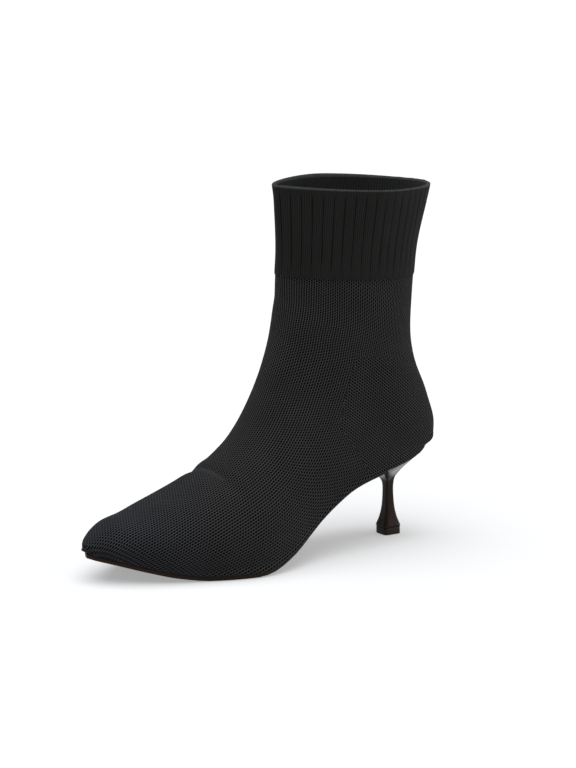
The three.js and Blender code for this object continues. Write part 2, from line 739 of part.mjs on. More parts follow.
function makeHeel() {
  const foot = tipThickness + seamGap;
  const rings = stemSections.map((s) => blockRing(foot + s.rise * (neckTop - foot), s.swell));
  const neck = rings.at(-1);
  const seat = heelAngles.map((angle) => {
    const r = seatReach(angle);
    const x = heelPosition + r * Math.cos(angle);
    return new THREE.Vector3(x, r * Math.sin(angle), soleLine(x) - seamGap);
  });
  for (const s of flareSections) {
    rings.push(neck.map((p, i) => {
      const q = p.clone().lerp(seat[i], s.reach);
      q.z = p.z + s.rise * (seat[i].z - p.z);
      return q;
    }));
  }
  rings.push(seat.map((p) => new THREE.Vector3(p.x, p.y, p.z - heelRim)));
  rings.push(seat);
  return stack(rings, 'heel', { color: 0x1a100b, roughness: 0.15, metalness: 0 });
}

function makeHeelTip() {
  const smaller = 1 - tipBevel / heelBaseLength;
  const rings = [blockRing(0, 1, smaller), blockRing(tipBevel, 1), blockRing(tipThickness, 1)];
  return stack(rings, 'heel_tip', { color: 0x0d0c0c, roughness: 0.5, metalness: 0 });
}

// The whole boot, moved so that its origin is under the middle of its box.
const boot = new THREE.Group();
boot.add(makeUpper(), makeInsole(), makeOutsole(), makeHeel(), makeHeelTip());
const box = new THREE.Box3().setFromObject(boot);
boot.position.set(-(box.min.x + box.max.x) / 2, -(box.min.y + box.max.y) / 2, 0);

export default boot;
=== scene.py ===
import math

import bmesh
import bpy
import numpy as np
from mathutils import Matrix, Vector


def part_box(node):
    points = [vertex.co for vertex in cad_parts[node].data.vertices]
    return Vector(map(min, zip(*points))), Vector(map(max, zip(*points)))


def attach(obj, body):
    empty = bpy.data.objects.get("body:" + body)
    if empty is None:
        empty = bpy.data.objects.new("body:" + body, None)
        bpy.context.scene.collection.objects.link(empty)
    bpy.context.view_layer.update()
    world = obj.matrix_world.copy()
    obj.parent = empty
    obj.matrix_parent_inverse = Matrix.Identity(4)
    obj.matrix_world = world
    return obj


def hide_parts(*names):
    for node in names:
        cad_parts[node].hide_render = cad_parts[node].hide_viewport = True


# Sock boot, left foot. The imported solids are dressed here: the knit of the upper with its ribbed
# cuff and heel pocket, the covered insole, the thin sole and the glossy spool heel.
# The scene is in metres. Sizes of the knit, the edges, the folds and the toe are written in
# millimetres and used with MM; the view, the lights and the floor are in metres.
MM = 0.001


def grey(value, warmth=0.0):
    return (value * (1 + warmth), value, value * (1 - warmth), 1.0)


# Pinholes of the knit: pitch round the wall and down the tube, dark floor and rim of a hole
HOLE_ACROSS = 1.6
HOLE_ALONG = 2.05
HOLE_RADIUS = 0.48
HOLE_EDGE = 0.80

# Ribs and edges of the knit: fine wales of the cuff and the lining, the welt at the rim, the
# gore lines, the strip at the back seam with no groove, and the height of the yarn
FINE_RIB = 1.3
LINING_RIB = 1.6
RIM_WELT = 1.3
GORE_WIDTH = 0.7
SEAM_STRIP = 2.0
YARN_BUMP = 0.5

# A corner of the solid is in a cuff groove where it is this hollow and this far up the cuff.
GROOVE_HOLLOW = 0.12
GROOVE_START = 0.5

# Turn of the heel pocket's stitches, and the girth round which the leg's columns are counted
POCKET_TURN = math.radians(52)
BACK_GIRTH = 131.0

# Rounded end of the toe: its length, how round it gets (1 would end in a sharp line), and the
# level it closes on, as a share of the way from the lower edge to the ridge
TOE_ROUNDING = 4.0
TOE_DROP = 0.85
TOE_MIDDLE = 0.55

# Soft folds at the bend of the foot, seen from the side: both ends as shares of the upper's
# length and height, then the height of the fold (a trough is negative) and its half width.
# A fold has lost the share FOLD_FADE of its height at its second end.
FOLDS = [
    ((0.671, 0.284), (0.652, 0.225), -1.8, 3.5),
    ((0.645, 0.282), (0.628, 0.225), 0.8, 3.5),
    ((0.696, 0.268), (0.680, 0.215), 0.4, 3.5),
]
FOLD_FADE = 0.6

# Colours of the knit
YARN_CROWN = grey(0.033, 0.04)
YARN_FURROW = grey(0.0135, 0.05)
HOLE_SHADE = grey(0.0003)
RIB_CROWN = grey(0.0138, 0.06)
RIB_FURROW = grey(0.0075, 0.06)
# Painted shade: the cuff's grooves are darkened to near black.
GROOVE_PAINTED_SHADE = grey(0.0006)
LINING_CROWN = grey(0.024)
LINING_FURROW = grey(0.012)
# Painted highlight: a faint lighter line along the gore lines of the heel pocket.
GORE_PAINTED_HIGHLIGHT = grey(0.03)
WELT_SHADE = grey(0.042)
SHEEN_TINT = (0.70, 0.80, 1.0, 1.0)

# A painted bluish sheen, standing in for cool light on the knit, grows from the instep to the toe:
# where it starts and ends, and how much red, green and blue gain.
PAINTED_TOE_SHEEN_START = 20
PAINTED_TOE_SHEEN_END = 110
PAINTED_TOE_SHEEN_GAIN = (-0.05, 0.0, 0.14)

# Colours of the heel, its cap, the sole's edge and face, the insole's cover and the floor
HEEL_DARK = (0.010, 0.007, 0.005, 1.0)
HEEL_LIGHT = (0.022, 0.013, 0.008, 1.0)
CAP_DARK = (0.009, 0.006, 0.0045, 1.0)
CAP_LIGHT = (0.020, 0.014, 0.011, 1.0)
EDGE_DARK = (0.010, 0.005, 0.003, 1.0)
EDGE_LIGHT = (0.024, 0.012, 0.007, 1.0)
FACE_DARK = (0.016, 0.013, 0.011, 1.0)
FACE_LIGHT = (0.032, 0.026, 0.022, 1.0)
TREAD_CREST = (0.05, 0.042, 0.036, 1.0)
COVER_SEAM = (0.009, 0.008, 0.008, 1.0)
COVER_DARK = (0.018, 0.017, 0.016, 1.0)
COVER_LIGHT = (0.034, 0.032, 0.030, 1.0)
FLOOR_DARK = grey(0.36)
FLOOR_LIGHT = grey(0.38)

# Pitch of the sole's tread
TREAD_PITCH = 3.2

# Copies of the solids: corners this close are joined, and two triangles become one face below
# this bend between them and this skew of the face, in degrees. Then come the levels and rounds
# of smoothing, and the steps and least angle of a softened edge.
JOIN_DISTANCE = 0.01
PAIR_BEND = 40
PAIR_SKEW = 75
SMOOTH_LEVELS = 2
SMOOTH_ROUNDS = 3
EDGE_SEGMENTS = 2
EDGE_ANGLE = 30

# Photograph's view: turn of the boot, height of the camera, roll, distance, aim and scale
VIEW_TURN = math.radians(35.57)
VIEW_RISE = math.radians(11.9)
VIEW_ROLL = math.radians(1.0)
VIEW_DISTANCE = 1.9932
VIEW_TARGET = Vector((-0.0011, -0.0031, 0.110))
PIXELS_PER_MM = 1.597
PICTURE_WIDTH = 576
PICTURE_HEIGHT = 768
TARGET_PIXEL = (265.1, 383.8)
SENSOR = 36.0
FAR_CLIP = 60

FLOOR_SIZE = 40

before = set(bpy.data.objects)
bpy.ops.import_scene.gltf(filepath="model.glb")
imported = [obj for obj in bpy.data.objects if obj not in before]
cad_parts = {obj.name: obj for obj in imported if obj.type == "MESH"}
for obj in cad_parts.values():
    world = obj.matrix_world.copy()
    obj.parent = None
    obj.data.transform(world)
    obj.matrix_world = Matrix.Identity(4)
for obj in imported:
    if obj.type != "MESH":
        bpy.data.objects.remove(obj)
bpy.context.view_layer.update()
upper_low, upper_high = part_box("upper")
LENGTH = upper_high[0] - upper_low[0]
HEIGHT = upper_high[2]
HALF_WIDTH = (upper_high[1] - upper_low[1]) / 2
MIDDLE_Y = -0.0031
SIDE_SCALE = np.array([LENGTH, HEIGHT]) / MM

# Planes of the knit's rows from the toe to the collar, as lines seen from the side. Along is a
# share of the upper's length from the heel, up a share of its height. Then come the half width
# (share of the widest), how far up the line the widest place is, and how wide the lower edge is
# against the widest.
KNIT_ROWS = [
    # ridge along, ridge up, edge along, edge up, half width, widest, edge width
    (1.000, 0.110, 1.000, 0.081, 0.01, 0.40, 0.90),
    (0.989, 0.115, 0.985, 0.076, 0.18, 0.38, 0.90),
    (0.966, 0.133, 0.956, 0.068, 0.34, 0.36, 0.90),
    (0.923, 0.155, 0.902, 0.050, 0.53, 0.33, 0.91),
    (0.868, 0.165, 0.834, 0.029, 0.73, 0.31, 0.93),
    (0.799, 0.190, 0.756, 0.014, 0.88, 0.29, 0.95),
    (0.729, 0.218, 0.669, 0.013, 0.98, 0.28, 0.96),
    (0.668, 0.252, 0.581, 0.018, 0.96, 0.28, 0.96),
    (0.617, 0.291, 0.493, 0.057, 0.85, 0.30, 0.95),
    (0.571, 0.338, 0.406, 0.117, 0.76, 0.32, 0.92),
    (0.539, 0.388, 0.298, 0.185, 0.74, 0.35, 0.90),
    (0.522, 0.430, 0.191, 0.221, 0.75, 0.39, 0.87),
    (0.507, 0.470, 0.104, 0.238, 0.72, 0.43, 0.70),
    (0.500, 0.491, 0.036, 0.244, 0.72, 0.46, 0.00),
    (0.488, 0.526, 0.000, 0.272, 0.72, 0.47, 0.00),
    (0.478, 0.561, 0.003, 0.310, 0.72, 0.47, 0.00),
    (0.469, 0.595, 0.019, 0.362, 0.73, 0.48, 0.00),
    (0.464, 0.631, 0.041, 0.420, 0.73, 0.48, 0.00),
    (0.461, 0.665, 0.073, 0.492, 0.74, 0.49, 0.00),
    (0.460, 0.695, 0.088, 0.572, 0.74, 0.50, 0.00),
    (0.463, 0.725, 0.089, 0.656, 0.76, 0.50, 0.00),
    (0.466, 0.758, 0.085, 0.738, 0.77, 0.50, 0.00),
    (0.465, 0.809, 0.082, 0.788, 0.77, 0.50, 0.00),
    (0.467, 0.868, 0.073, 0.845, 0.78, 0.50, 0.00),
    (0.473, 0.929, 0.056, 0.908, 0.80, 0.50, 0.00),
    (0.476, 0.968, 0.043, 0.948, 0.81, 0.50, 0.00),
    (0.481, 0.999, 0.034, 0.977, 0.81, 0.50, 0.00),
]
LEG_ROW = 17
LEG_BLEND_ROWS = 3
CUFF_ROW = 21
FINE_STEPS = 10
TOE_ROW = KNIT_ROWS[1]

# Rows are counted along a guide this far down from the ridge, and an arc is summed in ARC_STEPS.
# The other values keep the arcs of a very thin row, or of one that is widest at its lower edge,
# from running away, and keep the row search within memory.
GUIDE_SHARE = 0.35
ARC_STEPS = 16
THINNEST_ROW = 0.01
WIDEST_EDGE = 0.98
FLATTEST_REACH = 0.04
TINY = 1e-9
SHORTEST_LINE = 1e-6
POINTS_AT_ONCE = 8000

# Gore lines of the heel pocket, seen from the side, from the back of the leg round the front to
# the sole, as shares of the upper's length and height.
GORE_LINE = [(0.075, 0.504), (0.315, 0.545), (0.361, 0.358), (0.257, 0.205)]


# Curve through table rows that passes every row smoothly.
def smooth_rows(table, steps):
    points = np.array(table, dtype=float)
    count = len(points)
    places = np.linspace(0, count - 1, (count - 1) * steps + 1)
    index = np.minimum(places.astype(int), count - 2)
    part = (places - index)[:, None]
    before = points[np.maximum(index - 1, 0)]
    start = points[index]
    end = points[index + 1]
    after = points[np.minimum(index + 2, count - 1)]
    turn_in = (end - before) / 2
    turn_out = (after - start) / 2
    square = part * part
    cube = square * part
    return (
        (2 * cube - 3 * square + 1) * start
        + (cube - 2 * square + part) * turn_in
        + (3 * square - 2 * cube) * end
        + (cube - square) * turn_out
    )


def smoothstep(low, high, value):
    share = np.clip((value - low) / (high - low), 0, 1)
    return share * share * (3 - 2 * share)


# Length of an ellipse's arc from angle 0 on the first half axis, for arrays of arcs.
def arc_length(first, second, angle):
    total = np.zeros_like(angle)
    for step in range(ARC_STEPS):
        middle = angle * (step + 0.5) / ARC_STEPS
        total += np.hypot(first * np.sin(middle), second * np.cos(middle))
    return total * angle / ARC_STEPS


# Place of each point among the rows: the first pair of rows that it lies between.
def row_places(side, ridge, edge):
    line = edge - ridge
    length = np.hypot(line[:, 0], line[:, 1])
    place = np.zeros(len(side))
    for start in range(0, len(side), POINTS_AT_ONCE):
        part = side[start:start + POINTS_AT_ONCE, None, :] - ridge[None, :, :]
        distance = (line[:, 0] * part[:, :, 1] - line[:, 1] * part[:, :, 0]) / length
        ahead = distance[:, :-1]
        behind = distance[:, 1:]
        crosses = (ahead <= 0) & (behind > 0) | (ahead >= 0) & (behind < 0)
        found = crosses.any(axis=1)
        first = np.where(found, crosses.argmax(axis=1), np.abs(distance).argmin(axis=1))
        first = np.minimum(first, distance.shape[1] - 2)
        rank = np.arange(len(first))
        near = distance[rank, first]
        far = distance[rank, first + 1]
        gap = np.where(np.abs(near - far) < TINY, TINY, near - far)
        place[start:start + POINTS_AT_ONCE] = first + np.clip(near / gap, 0, 1)
    return place


# Knit coordinates of points of the upper, all in millimetres: across is the distance round the
# wall from the ridge, flat the place on the side unrolled into the plane of the side view, along
# the distance down the tube from the toe, cuff and rim that distance from the cuff's edge and to
# the rim. Middle is the tube's middle there.
def knit_coordinates(points):
    rows = smooth_rows(KNIT_ROWS, FINE_STEPS)
    rows[:, 4:] = np.clip(rows[:, 4:], 0.0, 1.0)
    origin = np.array([upper_low[0], 0.0]) / MM
    ridge = rows[:, 0:2] * SIDE_SCALE + origin
    edge = rows[:, 2:4] * SIDE_SCALE + origin
    half_width = np.maximum(rows[:, 4], THINNEST_ROW) * HALF_WIDTH / MM

    guide = ridge + GUIDE_SHARE * (edge - ridge)
    steps = np.hypot(*np.diff(guide, axis=0).T)
    guide_along = np.concatenate([[0.0], np.cumsum(steps)])

    side = points[:, [0, 2]] / MM
    place = row_places(side, ridge, edge)
    numbers = np.arange(len(rows))

    def at(values):
        return np.interp(place, numbers, values)

    ridge_here = np.stack([at(ridge[:, 0]), at(ridge[:, 1])], axis=1)
    edge_here = np.stack([at(edge[:, 0]), at(edge[:, 1])], axis=1)
    line_here = ridge_here - edge_here
    span = np.maximum(np.hypot(line_here[:, 0], line_here[:, 1]), SHORTEST_LINE)
    share = np.clip(((side - edge_here) * line_here).sum(axis=1) / span**2, 0, 1)
    width = at(half_width)
    widest = at(rows[:, 5])
    edge_width = np.minimum(at(rows[:, 6]), WIDEST_EDGE)
    out = np.abs(points[:, 1] - MIDDLE_Y) / MM / width

    upper_axis = (1 - widest) * span
    reach = widest / np.sqrt(np.maximum(1 - edge_width**2, FLATTEST_REACH))
    lower_axis = reach * span
    upper_angle = np.arctan2(out, np.maximum(share - widest, 0) / (1 - widest))
    lower_angle = np.arctan2(np.maximum(widest - share, 0) / reach, out)
    above = share >= widest
    quarter = np.full_like(span, math.pi / 2)
    upper_arc = arc_length(upper_axis, width, np.where(above, upper_angle, quarter))
    lower_arc = arc_length(width, lower_axis, np.where(above, 0.0, lower_angle))
    natural = upper_arc + lower_arc
    girth = arc_length(upper_axis, width, quarter) + arc_length(width, lower_axis, quarter)
    on_leg = smoothstep(LEG_ROW * FINE_STEPS, (LEG_ROW + LEG_BLEND_ROWS) * FINE_STEPS, place)
    direction = -line_here / span[:, None]
    along = at(guide_along)
    return {
        "across": natural * (1 + on_leg * (BACK_GIRTH / girth - 1)),
        "along": along,
        "flat": ridge_here + direction * natural[:, None],
        "cuff": along - guide_along[CUFF_ROW * FINE_STEPS],
        "rim": guide_along[-1] - along,
        "middle": (ridge_here + edge_here) / 2,
    }


def deselect_all():
    for item in bpy.context.selected_objects:
        item.select_set(False)


def make_active(piece):
    deselect_all()
    piece.select_set(True)
    bpy.context.view_layer.objects.active = piece


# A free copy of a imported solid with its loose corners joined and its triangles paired.
def copy_of(node, name):
    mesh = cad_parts[node].data.copy()
    mesh.name = name
    piece = bpy.data.objects.new(name, mesh)
    bpy.context.scene.collection.objects.link(piece)
    mesh.materials.clear()
    work = bmesh.new()
    work.from_mesh(mesh)
    bmesh.ops.remove_doubles(work, verts=work.verts, dist=JOIN_DISTANCE * MM)
    bmesh.ops.join_triangles(
        work,
        faces=work.faces,
        angle_face_threshold=math.radians(PAIR_BEND),
        angle_shape_threshold=math.radians(PAIR_SKEW),
    )
    work.to_mesh(mesh)
    work.free()
    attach(piece, "root")
    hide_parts(node)
    return piece


def apply_modifiers(piece):
    make_active(piece)
    for modifier in list(piece.modifiers):
        bpy.ops.object.modifier_apply(modifier=modifier.name)


# Smooths a mesh so that its surface still passes through every corner of the solid.
def smooth_through_corners(piece):
    modifier = piece.modifiers.new("smooth form", "SUBSURF")
    modifier.levels = SMOOTH_LEVELS
    modifier.render_levels = SMOOTH_LEVELS
    corners = mesh_points(piece.data)
    for _ in range(SMOOTH_ROUNDS):
        graph = bpy.context.evaluated_depsgraph_get()
        graph.update()
        shown = piece.evaluated_get(graph)
        reached = mesh_points(shown.to_mesh())[:len(corners)]
        shown.to_mesh_clear()
        set_points(piece.data, mesh_points(piece.data) + corners - reached)
    apply_modifiers(piece)


def soften_edges(piece, width):
    modifier = piece.modifiers.new("soft edges", "BEVEL")
    modifier.width = width * MM
    modifier.segments = EDGE_SEGMENTS
    modifier.limit_method = "ANGLE"
    modifier.angle_limit = math.radians(EDGE_ANGLE)
    apply_modifiers(piece)


def shade_smooth(piece, angle=None):
    make_active(piece)
    if angle is None:
        bpy.ops.object.shade_smooth()
    else:
        bpy.ops.object.shade_smooth_by_angle(angle=math.radians(angle))


def mesh_points(mesh):
    values = np.empty(len(mesh.vertices) * 3)
    mesh.vertices.foreach_get("co", values)
    return values.reshape(-1, 3)


def mesh_normals(mesh):
    values = np.empty(len(mesh.vertices) * 3)
    mesh.vertex_normals.foreach_get("vector", values)
    return values.reshape(-1, 3)


def set_points(mesh, points):
    mesh.vertices.foreach_set("co", points.ravel())
    mesh.update()


# Place of points seen from the side, in millimetres from the upper's lowest corner.
def side_places(points):
    return np.stack([(points[:, 0] - upper_low[0]) / MM, points[:, 2] / MM], axis=1)


def store_number(mesh, name, values):
    layer = mesh.attributes.new(name, "FLOAT", "POINT")
    layer.data.foreach_set("value", np.asarray(values, dtype=np.float32))


def store_map(mesh, name, across, along):
    corner_points = np.empty(len(mesh.loops), dtype=np.int32)
    mesh.loops.foreach_get("vertex_index", corner_points)
    values = np.stack([across[corner_points], along[corner_points]], axis=1)
    layer = mesh.uv_layers.new(name=name)
    layer.data.foreach_set("uv", values.astype(np.float32).ravel())


# Distance inside the nearest gore line: positive inside the heel pocket.
def pocket_depth(points):
    place = side_places(points)
    corners = np.array(GORE_LINE) * SIDE_SCALE
    depths = []
    for start, end in zip(corners, corners[1:]):
        line = (end - start) / np.hypot(*(end - start))
        depths.append((place - start) @ np.array([line[1], -line[0]]))
    return np.min(depths, axis=0)


# How hollow the surface is at each point: mean height of the neighbours above it.
def hollowness(mesh):
    points = mesh_points(mesh)
    edges = np.empty(len(mesh.edges) * 2, dtype=np.int32)
    mesh.edges.foreach_get("vertices", edges)
    edges = edges.reshape(-1, 2)
    total = np.zeros_like(points)
    count = np.zeros(len(points))
    for a, b in ((0, 1), (1, 0)):
        np.add.at(total, edges[:, a], points[edges[:, b]])
        np.add.at(count, edges[:, a], 1)
    mean = total / count[:, None]
    return ((mean - points) * mesh_normals(mesh)).sum(axis=1) / MM


# 1 where a point faces the inside of the tube, 0 where it faces out. The tube is about twice as
# deep as it is wide, so the way to the side counts double.
def inward_share(mesh, knit):
    points = mesh_points(mesh)
    middle = knit["middle"] * MM
    centre = np.stack([middle[:, 0], np.full(len(points), MIDDLE_Y), middle[:, 1]], axis=1)
    away = points - centre
    away[:, 1] *= 2
    return ((away * mesh_normals(mesh)).sum(axis=1) < 0).astype(float)


class Looks:
    """Builds a material's nodes with short calls."""

    def __init__(self, name):
        self.material = bpy.data.materials.new(name)
        self.material.use_nodes = True
        self.tree = self.material.node_tree
        self.shader = self.tree.nodes["Principled BSDF"]
        self.place = self.node("ShaderNodeTexCoord").outputs["Object"]

    def node(self, kind, **settings):
        item = self.tree.nodes.new(kind)
        for key, value in settings.items():
            setattr(item, key, value)
        return item

    def put(self, socket, value):
        if isinstance(value, bpy.types.NodeSocket):
            self.tree.links.new(value, socket)
        else:
            socket.default_value = value

    def finish(self, **values):
        for name, value in values.items():
            self.put(self.shader.inputs[name.replace("_", " ")], value)

    def math(self, operation, *values):
        item = self.node("ShaderNodeMath", operation=operation)
        for socket, value in zip(item.inputs, values):
            self.put(socket, value)
        return item.outputs[0]

    def line(self, value, slope, base=0.0):
        return self.math("MULTIPLY_ADD", value, slope, base)

    def ramp(self, value, start, end, low=0.0, high=1.0):
        item = self.node("ShaderNodeMapRange", interpolation_type="SMOOTHSTEP")
        names = ("Value", "From Min", "From Max", "To Min", "To Max")
        for name, number in zip(names, (value, start, end, low, high)):
            self.put(item.inputs[name], number)
        return item.outputs["Result"]

    def blend(self, share, first, second, mode="MIX"):
        item = self.node("ShaderNodeMix", data_type="RGBA", blend_type=mode)
        self.put(item.inputs["Factor"], share)
        self.put(item.inputs[6], first)
        self.put(item.inputs[7], second)
        return item.outputs[2]

    def choose(self, share, first, second):
        item = self.node("ShaderNodeMix", data_type="FLOAT")
        self.put(item.inputs["Factor"], share)
        self.put(item.inputs[2], first)
        self.put(item.inputs[3], second)
        return item.outputs[0]

    def number(self, name):
        return self.node("ShaderNodeAttribute", attribute_name=name).outputs["Fac"]

    def parts(self, vector):
        item = self.node("ShaderNodeSeparateXYZ")
        self.put(item.inputs[0], vector)
        return item.outputs

    def map_parts(self, name):
        parts = self.parts(self.node("ShaderNodeUVMap", uv_map=name).outputs[0])
        return parts["X"], parts["Y"]

    def noise(self, scale, detail=2.0, roughness=0.5):
        item = self.node("ShaderNodeTexNoise")
        self.put(item.inputs["Vector"], self.place)
        self.put(item.inputs["Scale"], scale)
        self.put(item.inputs["Detail"], detail)
        self.put(item.inputs["Roughness"], roughness)
        return item.outputs["Fac"]

    def bump(self, height, distance):
        item = self.node("ShaderNodeBump")
        self.put(item.inputs["Height"], height)
        self.put(item.inputs["Distance"], distance * MM)
        self.put(item.inputs["Strength"], 1.0)
        self.put(self.shader.inputs["Normal"], item.outputs[0])


# Distance to the nearest pinhole of a staggered row pattern.
def hole_distance(looks, across, along):
    distances = []
    for shift in (0.0, 0.5):
        squares = []
        for value, pitch in ((across, 2 * HOLE_ACROSS), (along, HOLE_ALONG)):
            turns = looks.line(value, 1 / pitch, shift)
            centred = looks.math("SUBTRACT", looks.math("FRACT", turns), 0.5)
            offset = looks.line(centred, pitch)
            squares.append(looks.math("MULTIPLY", offset, offset))
        distances.append(looks.math("SQRT", looks.math("ADD", *squares)))
    return looks.math("MINIMUM", *distances)


# Wales of a fine rib: 1 on the crown, 0 in the furrow.
def rib_height(looks, across, pitch):
    turns = looks.line(across, 2 * math.pi / pitch)
    return looks.line(looks.math("COSINE", turns), 0.5, 0.5)


# Small changes of the yarn's tone from place to place, and a painted cool sheen that grows towards
# the toe.
def yarn_tone_and_painted_sheen(looks, fuzz):
    cloud = looks.noise(scale=45.0, detail=3.0)
    shade = looks.line(cloud, slope=0.4, base=0.8)
    speckle = looks.line(fuzz, slope=0.5, base=0.75)
    strength = looks.math("MULTIPLY", shade, speckle)
    # Painted sheen: the yarn is tinted bluer towards the toe, as if lit by cool light.
    painted_toe_sheen = looks.ramp(looks.parts(looks.place)["X"], PAINTED_TOE_SHEEN_START * MM, PAINTED_TOE_SHEEN_END * MM)
    mixed = looks.node("ShaderNodeCombineColor")
    for socket, gain in zip(mixed.inputs, PAINTED_TOE_SHEEN_GAIN):
        looks.put(socket, looks.math("MULTIPLY", strength, looks.line(painted_toe_sheen, gain, 1.0)))
    return mixed.outputs[0]


def knit_material():
    looks = Looks("knit")
    across, along = looks.map_parts("knit")
    pocket_across, pocket_along = looks.map_parts("pocket")
    pocket = looks.ramp(looks.number("pocket_depth"), start=-0.05, end=0.05)
    from_hole = looks.choose(
        pocket,
        hole_distance(looks, across, along),
        hole_distance(looks, pocket_across, pocket_along),
    )
    open_hole = looks.ramp(from_hole, HOLE_RADIUS, HOLE_EDGE, low=1.0, high=0.0)
    column = looks.choose(pocket, across, pocket_across)
    crown = looks.ramp(rib_height(looks, column, HOLE_ACROSS), start=0.75, end=0.15)

    cuff = looks.ramp(looks.number("cuff"), start=-0.3, end=0.3)
    lining = looks.ramp(looks.number("lining"), start=0.45, end=0.55)
    welt = looks.ramp(looks.number("rim"), RIM_WELT, RIM_WELT * 0.7)
    # Mask of the cuff's grooves, where shade is painted.
    groove = looks.ramp(looks.number("groove"), start=0.05, end=0.3)
    fine = rib_height(looks, across, FINE_RIB)
    inner = rib_height(looks, across, LINING_RIB)
    ribbed = looks.choose(lining, fine, inner)
    plain = looks.math("MAXIMUM", cuff, lining)
    from_gore = looks.math("ABSOLUTE", looks.number("pocket_depth"))
    on_gore = looks.ramp(from_gore, 0.0, GORE_WIDTH, low=1.0, high=0.0)
    gore = looks.math("MULTIPLY", on_gore, looks.math("SUBTRACT", 1.0, plain))
    fuzz = looks.noise(scale=2600.0, roughness=0.7)

    holed = looks.blend(crown, YARN_FURROW, YARN_CROWN)
    holed = looks.blend(open_hole, holed, HOLE_SHADE)
    ribs = looks.blend(fine, RIB_FURROW, RIB_CROWN)
    ribs = looks.blend(lining, ribs, looks.blend(inner, LINING_FURROW, LINING_CROWN))
    colour = looks.blend(plain, holed, ribs)
    # Painted shade: near-black darkening in the cuff's grooves.
    colour = looks.blend(groove, colour, GROOVE_PAINTED_SHADE)
    # Painted highlight: a faint lighter line on the gore ridge.
    colour = looks.blend(looks.line(gore, slope=0.15), colour, GORE_PAINTED_HIGHLIGHT)
    colour = looks.blend(looks.line(welt, slope=0.65), colour, WELT_SHADE)
    # Multiplies in the yarn's random tone and the painted cool sheen on the toe.
    colour = looks.blend(1.0, colour, yarn_tone_and_painted_sheen(looks, fuzz), mode="MULTIPLY")

    yarn = looks.math("SUBTRACT", looks.line(crown, slope=0.4), open_hole)
    height = looks.choose(plain, yarn, looks.line(ribbed, slope=0.35))
    for part, rise in ((fuzz, 0.35), (gore, 0.25), (welt, 0.6)):
        height = looks.line(part, rise, height)
    looks.bump(height, YARN_BUMP)
    looks.finish(
        Base_Color=colour,
        Roughness=0.82,
        Specular_IOR_Level=0.03,
        Sheen_Weight=0.015,
        Sheen_Roughness=0.5,
        Sheen_Tint=SHEEN_TINT,
    )
    return looks.material


def heel_material():
    looks = Looks("glossy heel")
    gloss = looks.noise(scale=240.0, detail=3.0)
    looks.bump(looks.noise(scale=120.0, detail=1.0), distance=0.05)
    looks.finish(
        Base_Color=looks.blend(looks.noise(scale=60.0), HEEL_DARK, HEEL_LIGHT),
        Roughness=looks.ramp(gloss, start=0.2, end=0.8, low=0.20, high=0.30),
        Specular_IOR_Level=0.08,
    )
    return looks.material


def cap_material():
    looks = Looks("heel cap rubber")
    grain = looks.noise(scale=1500.0, detail=3.0, roughness=0.6)
    looks.bump(grain, distance=0.06)
    looks.finish(
        Base_Color=looks.blend(grain, CAP_DARK, CAP_LIGHT),
        Roughness=0.42,
        Specular_IOR_Level=0.12,
    )
    return looks.material


def sole_material():
    looks = Looks("moulded sole")
    sides = looks.parts(looks.place)
    waves = []
    for turn in (1.0, -1.0):
        slanted = looks.line(sides["Y"], turn, sides["X"])
        waves.append(looks.math("COSINE", looks.line(slanted, 2 * math.pi / (TREAD_PITCH * MM))))
    tread = looks.ramp(looks.math("MINIMUM", *waves), start=-0.75, end=-0.35)
    facing = looks.parts(looks.node("ShaderNodeNewGeometry").outputs["Normal"])
    below = looks.ramp(facing["Z"], start=-0.9, end=-0.6, low=1.0, high=0.0)
    grain = looks.noise(scale=900.0, detail=3.0, roughness=0.6)
    edge = looks.blend(grain, EDGE_DARK, EDGE_LIGHT)
    face = looks.blend(grain, FACE_DARK, FACE_LIGHT)
    worn = looks.blend(looks.line(tread, slope=0.35), face, TREAD_CREST)
    looks.bump(looks.line(grain, 0.15, looks.math("MULTIPLY", tread, below)), distance=0.35)
    looks.finish(
        Base_Color=looks.blend(below, edge, worn),
        Roughness=looks.ramp(grain, start=0.2, end=0.8, low=0.45, high=0.7),
        Specular_IOR_Level=0.1,
    )
    return looks.material


def insole_material():
    looks = Looks("insole cover")
    cells = looks.node("ShaderNodeTexVoronoi", feature="DISTANCE_TO_EDGE")
    looks.put(cells.inputs["Vector"], looks.place)
    looks.put(cells.inputs["Scale"], 900.0)
    pebble = looks.ramp(cells.outputs["Distance"], start=0.0, end=0.25)
    cloud = looks.noise(scale=60.0, detail=3.0)
    base = looks.blend(cloud, COVER_DARK, COVER_LIGHT)
    looks.bump(pebble, distance=0.12)
    looks.finish(
        Base_Color=looks.blend(pebble, COVER_SEAM, base),
        Roughness=looks.ramp(cloud, start=0.2, end=0.8, low=0.5, high=0.7),
    )
    return looks.material


def floor_material():
    looks = Looks("pale floor")
    looks.finish(
        Base_Color=looks.blend(looks.noise(scale=3.0), FLOOR_DARK, FLOOR_LIGHT),
        Roughness=0.9,
        Specular_IOR_Level=0.0,
        Emission_Color=grey(1.0),
        Emission_Strength=0.35,
    )
    return looks.material


# Rounds the very end of the toe, seen from the side.
def round_toe(mesh):
    points = mesh_points(mesh)
    ahead = np.clip((points[:, 0] - upper_high[0]) / (TOE_ROUNDING * MM) + 1, 0, 1)
    middle = (TOE_MIDDLE * TOE_ROW[1] + (1 - TOE_MIDDLE) * TOE_ROW[3]) * HEIGHT
    keep = np.sqrt(1 - TOE_DROP * ahead**2)
    rounded = middle + (points[:, 2] - middle) * keep
    points[:, 2] = np.where(ahead > 0, rounded, points[:, 2])
    set_points(mesh, points)


